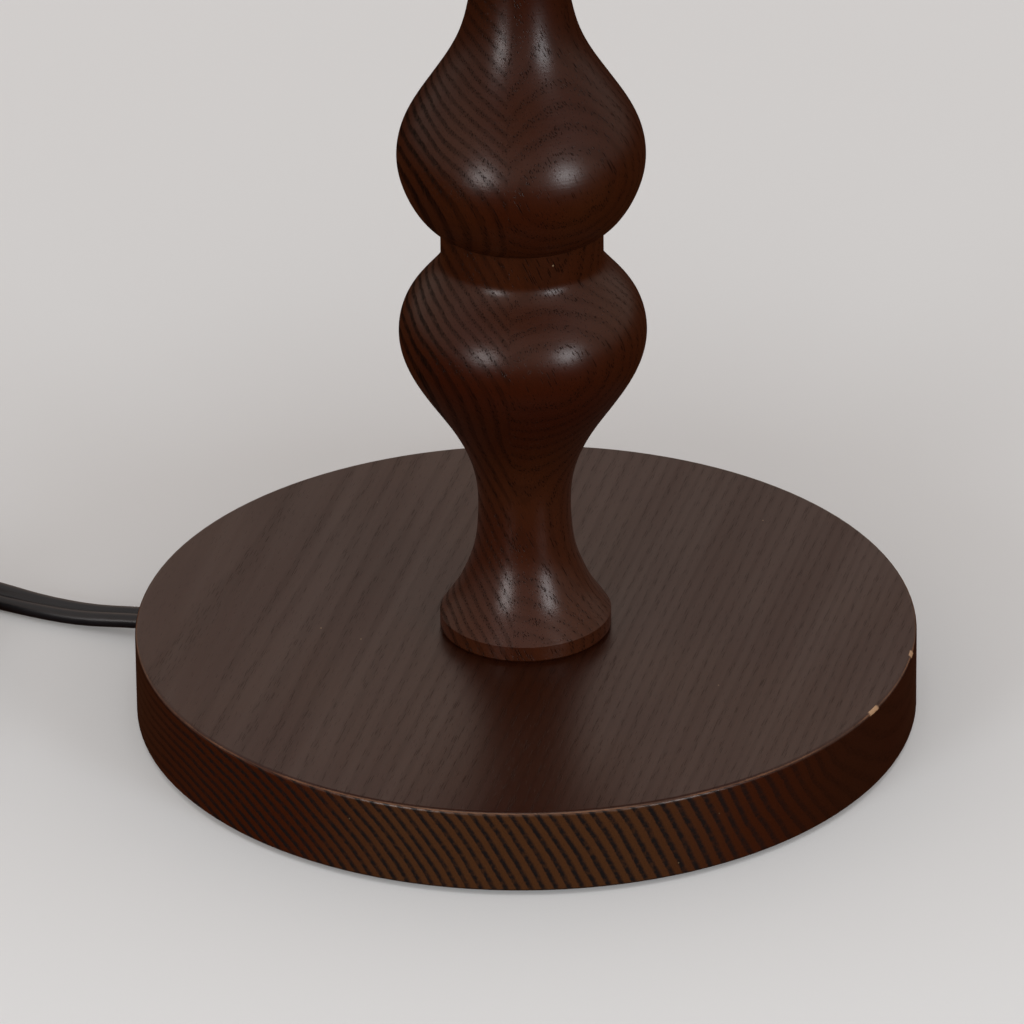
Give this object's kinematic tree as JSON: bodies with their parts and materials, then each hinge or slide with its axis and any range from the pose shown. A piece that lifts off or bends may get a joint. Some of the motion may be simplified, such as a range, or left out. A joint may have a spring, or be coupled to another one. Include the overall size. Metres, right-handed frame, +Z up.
{
  "type": "table lamp with shade",
  "caption": "Turned dark wooden table lamp: round base, double-bulge stem, socket with bulb, harp, linen empire shade, flat cord and plug.",
  "frame": {"origin": "centre of the underside of the lamp, on the surface it stands on", "axes": "+Z up along the lamp's axis; the cord leaves the back of the base along +Y; the harp lies in the XZ plane and the switch knob points to -Y"},
  "size_m": [0.2826, 0.3641, 0.4472],
  "materials": {
    "base_wood": "satin stained ash",
    "stem_wood": "satin stained ash",
    "felt": "matt felt",
    "weight_steel": "rough",
    "zinc": "zinc plated",
    "brass": "satin",
    "paper": "matt card",
    "phenolic": "moulded",
    "knob_black": "glossy",
    "bulb_frost": "frosted",
    "bulb_metal": "bright",
    "bulb_black": "glossy",
    "linen": "plain weave",
    "liner_white": "matt",
    "frame_wire": "white",
    "trim": "plain weave",
    "cord_black": "glossy PVC",
    "bushing_black": "matt",
    "plug_black": "moulded PVC"
  },
  "bodies": {
    "lamp_body": {"base_disc": "base_wood", "base_felt": "felt", "weight_plate": "weight_steel", "weight_screws": "zinc", "base_washer": "zinc", "base_nut": "zinc", "threaded_pipe": "zinc", "stem_lower": "stem_wood", "stem_upper": "stem_wood", "vase_cap": "brass", "harp_saddle": "brass", "harp": "brass", "socket_cap": "brass", "socket_set_screw": "brass", "socket_shell": "brass", "socket_sleeve": "paper", "socket_core": "phenolic", "screw_shell": "brass", "centre_contact": "brass", "terminal_screws": "brass", "socket_leads": "cord_black", "switch_bushing": "brass", "cord_inner": "cord_black", "cord_bushing": "bushing_black", "cord_lead": "cord_black", "cord_coil": "cord_black", "coil_ties": "bushing_black", "cord_tail": "cord_black", "plug_body": "plug_black", "plug_blades": "brass"},
    "switch": {"switch_shaft": "brass", "switch_knob": "knob_black"},
    "bulb": {"bulb_glass": "bulb_frost", "bulb_base": "bulb_metal", "bulb_contact": "bulb_black"},
    "finial": {"finial": "brass"},
    "shade": {"shade_liner": "liner_white", "shade_fabric": "linen", "shade_spider": "frame_wire", "shade_ring_top": "frame_wire", "shade_ring_bottom": "frame_wire", "shade_trim_bottom": "trim", "shade_trim_top": "trim"},
    "sleeve_left": {"harp_sleeve_left": "brass"},
    "sleeve_right": {"harp_sleeve_right": "brass"}
  },
  "joints": [
    {"name": "switch_turn", "type": "hinge", "parent": "lamp_body", "child": "switch", "pos_m": [0, -0.025, 0.25], "axis": [0, -1, 0], "continuous": true},
    {"name": "bulb_lift", "type": "slide", "parent": "lamp_body", "child": "bulb", "axis": [0, 0, 1], "range_m": [0, 0.026]},
    {"name": "shade_lift", "type": "slide", "parent": "lamp_body", "child": "finial", "axis": [0, 0, 1], "range_m": [0, 0.19]},
    {"name": "shade_turn", "type": "hinge", "parent": "finial", "child": "shade", "pos_m": [0, 0, 0.418], "axis": [0, 0, 1], "continuous": true},
    {"name": "sleeve_left_lift", "type": "slide", "parent": "lamp_body", "child": "sleeve_left", "axis": [0, 0, 1], "range_m": [0, 0.012]},
    {"name": "sleeve_right_lift", "type": "slide", "parent": "lamp_body", "child": "sleeve_right", "axis": [0, 0, 1], "range_m": [0, 0.012]}
  ]
}
